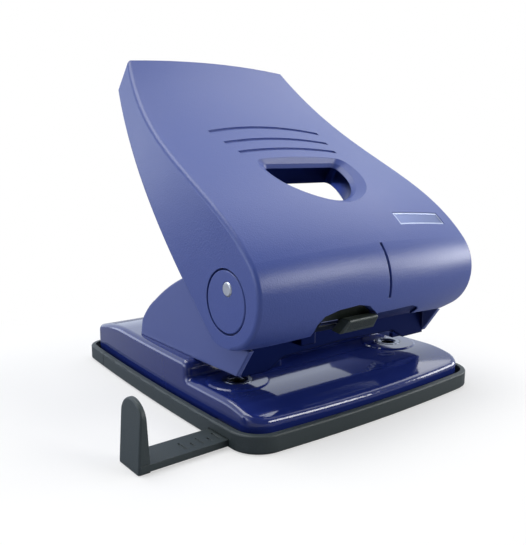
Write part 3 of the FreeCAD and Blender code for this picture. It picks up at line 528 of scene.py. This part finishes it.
class PUNCH_OT_lock(bpy.types.Operator):
    """Gives the locking slider its dark plastic, and its recess and leaf a near-black painted shade"""
    bl_idname = "punch.lock"
    bl_label = "Lock"

    def execute(self, context):
        colours, surfaces = punch().colours, punch().surfaces
        paint(moulded_plastic("lock_plastic", colours.lock, roughness=0.34, edge=surfaces.rib_edge),
              "lock_slider")
        # Painted shade: the bezel and the leaf get near black for the shade deep in the pocket
        paint(moulded_plastic("recess_shade_plastic", colours.recess, roughness=0.4), "lock_bezel", self.add_leaf())
        return {"FINISHED"}

    def add_leaf(self):
        """The thin leaf of the slider that keeps its slot shut behind the pocket."""
        bpy.ops.object.select_all(action="DESELECT")
        bpy.ops.mesh.primitive_cube_add(size=1.0, location=(LEAF_LOW + LEAF_HIGH) / 2,
                                        scale=LEAF_HIGH - LEAF_LOW)
        leaf = bpy.context.object
        leaf.name = "lock_leaf"
        bpy.ops.object.transform_apply(location=True, rotation=False, scale=True)
        ease = leaf.modifiers.new("edges", "BEVEL")
        ease.width, ease.segments = LEAF_EDGE, 3
        bpy.ops.object.modifier_apply(modifier=ease.name)
        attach(leaf, BODY_OF["lock_slider"])
        return leaf


class PUNCH_OT_studio(bpy.types.Operator):
    """Sets up the floor, the soft lamps, the room light and the camera"""
    bl_idname = "punch.studio"
    bl_label = "Studio"

    def execute(self, context):
        studio = punch().studio
        self.add_floor(studio)
        self.light_room(studio)
        self.add_soft_box("key_lamp", studio.key_power, sides=(0.8, 0.8), place=(-0.25, 0.3, 1.0))
        self.add_soft_box("left_lamp", studio.left_power, sides=(0.7, 0.5), place=(-1.1, 0.15, 0.35),
                          colour=studio.left_colour)
        self.add_soft_box("back_lamp", studio.back_power, sides=(1.4, 0.4), place=(-0.85, 0.8, 0.18),
                          colour=studio.left_colour)
        self.add_soft_box("right_lamp", studio.right_power, sides=(0.8, 0.8), place=(0.75, 0.05, 1.0))
        self.add_soft_box("front_lamp", studio.front_power, sides=(0.6, 0.35), place=(0.62, -1.0, 0.54))
        self.add_soft_box("side_lamp", studio.side_power, sides=(0.6, 0.35), place=(1.1, -0.5, 0.26))
        self.add_camera(studio)
        context.scene.view_settings.view_transform = "Standard"
        return {"FINISHED"}

    def add_floor(self, studio):
        """A wide pale floor that keeps the object's shadow."""
        bpy.ops.object.select_all(action="DESELECT")
        bpy.ops.mesh.primitive_plane_add(size=studio.floor_size, location=(0.0, 0.0, 0.0))
        floor = bpy.context.object
        floor.name = "studio_floor"
        finish = Finish("floor_paper")
        finish.give(Base_Color=light_of(studio.bounce_colour), Roughness=0.9, Specular_IOR_Level=0.0)
        bounce = Sum(finish, finish.shader.outputs[0])
        paper = finish.node("ShaderNodeBsdfDiffuse", (), {"Color": light_of(studio.floor_colour)})
        white = finish.node("ShaderNodeEmission", (), {"Color": WHITE, "Strength": 1.0})
        half = [(high - low) / 2 for low, high in zip(*CAD_BOX)]
        middle = [(high + low) / 2 for low, high in zip(*CAD_BOX)]
        from_middle = finish.node("ShaderNodeVectorMath", {"operation": "ABSOLUTE"},
                                  {0: finish.less(finish.place(), middle)})
        beyond = finish.node("ShaderNodeVectorMath", {"operation": "MAXIMUM"},
                             {0: finish.less(from_middle, half), 1: (0.0, 0.0, 0.0)})
        away = finish.length(beyond)
        share = finish.node("ShaderNodeMapRange", {"clamp": True, "interpolation_type": "SMOOTHSTEP"},
                            {"Value": away, "From Max": studio.white_from,
                             "To Min": studio.white_share, "To Max": 1.0})
        seen = finish.node("ShaderNodeMixShader", (), {0: share, 1: paper, 2: white})
        camera = finish.node("ShaderNodeLightPath", output="Is Camera Ray")
        shader = finish.node("ShaderNodeMixShader", (), {0: camera, 1: bounce, 2: seen})
        finish.feed(finish.tree.nodes["Material Output"].inputs["Surface"], shader)
        paint(finish.material, floor)

    def light_room(self, studio):
        """Soft light from all round but the photographer's side, and a white backdrop."""
        world = bpy.data.worlds.new("studio_room")
        bpy.context.scene.world = world
        world.use_nodes = True
        room = Nodes(world.node_tree)
        way = room.node("ShaderNodeTexCoord", output="Generated")
        toward = room.along(way, studio.dark_way)
        share = room.node("ShaderNodeMapRange", {"clamp": True, "interpolation_type": "SMOOTHSTEP"},
                          {"Value": toward, "From Min": studio.dark_from, "From Max": studio.dark_to,
                           "To Min": 1.0, "To Max": studio.dark_share})
        glossy = room.node("ShaderNodeLightPath", output="Is Glossy Ray")
        strength = share * (glossy * (studio.room_gloss - studio.room_light) + studio.room_light)
        light = room.node("ShaderNodeBackground", (),
                          {"Color": light_of(studio.room_colour), "Strength": strength})
        white = room.node("ShaderNodeBackground", (), {"Color": WHITE, "Strength": 1.0})
        camera = room.node("ShaderNodeLightPath", output="Is Camera Ray")
        shader = room.node("ShaderNodeMixShader", (), {0: camera, 1: light, 2: white})
        room.feed(room.tree.nodes["World Output"].inputs["Surface"], shader)

    def add_soft_box(self, name, power, sides, place, colour=WHITE[:3]):
        """An oblong lamp that faces the punch."""
        lamp = bpy.data.lights.new(name, "AREA")
        lamp.energy = power
        lamp.color = light_of(colour)[:3]
        lamp.shape = "RECTANGLE"
        lamp.size, lamp.size_y = sides
        box = bpy.data.objects.new(name, lamp)
        bpy.context.scene.collection.objects.link(box)
        box.location = place
        box.rotation_euler = (LAMP_TARGET - Vector(place)).to_track_quat("-Z", "Y").to_euler()

    def add_camera(self, studio):
        """The camera, where the photograph was taken from."""
        camera = bpy.data.cameras.new("photo_camera")
        camera.sensor_fit = "HORIZONTAL"
        camera.sensor_width = SENSOR_WIDTH
        camera.lens = studio.lens
        camera.clip_start = 0.01
        stand = bpy.data.objects.new("photo_camera", camera)
        bpy.context.scene.collection.objects.link(stand)
        stand.location = studio.camera_place
        stand.rotation_euler = studio.camera_turn
        bpy.context.scene.camera = stand


OPERATORS = (PUNCH_OT_base, PUNCH_OT_tray, PUNCH_OT_bracket, PUNCH_OT_punches, PUNCH_OT_lever,
             PUNCH_OT_handle, PUNCH_OT_badge, PUNCH_OT_lock, PUNCH_OT_studio)


class PunchSettings(bpy.types.PropertyGroup):
    """All the settings of one hole punch"""
    colours: PointerProperty(type=PunchColours, name="Colours", description="Colours of the finishes")
    surfaces: PointerProperty(type=PunchSurfaces, name="Surfaces", description="Sheen, grain and rounding")
    studio: PointerProperty(type=PunchStudio, name="Studio", description="Camera, lamps and floor")


class PUNCH_PT_sidebar(bpy.types.Panel):
    """Lists the steps and the settings of the hole punch"""
    bl_idname = "PUNCH_PT_sidebar"
    bl_label = "Hole Punch"
    bl_space_type = "VIEW_3D"
    bl_region_type = "UI"
    bl_category = "Hole Punch"

    def draw(self, context):
        steps = self.layout.column(align=True)
        for step in OPERATORS:
            steps.operator(step.bl_idname)
        for group in (punch().colours, punch().surfaces, punch().studio):
            rows = self.layout.box().column()
            for key in group.__annotations__:
                rows.prop(group, key)


CLASSES = (PunchColours, PunchSurfaces, PunchStudio, PunchSettings, PUNCH_PT_sidebar) + OPERATORS


def register():
    for each in CLASSES:
        bpy.utils.register_class(each)
    bpy.types.Scene.hole_punch = PointerProperty(type=PunchSettings)


def unregister():
    del bpy.types.Scene.hole_punch
    for each in reversed(CLASSES):
        bpy.utils.unregister_class(each)


def main():
    """Dresses the whole punch."""
    register()
    for step in OPERATORS:
        getattr(bpy.ops.punch, step.bl_idname.split(".")[1])()


if __name__ == "__main__":
    main()
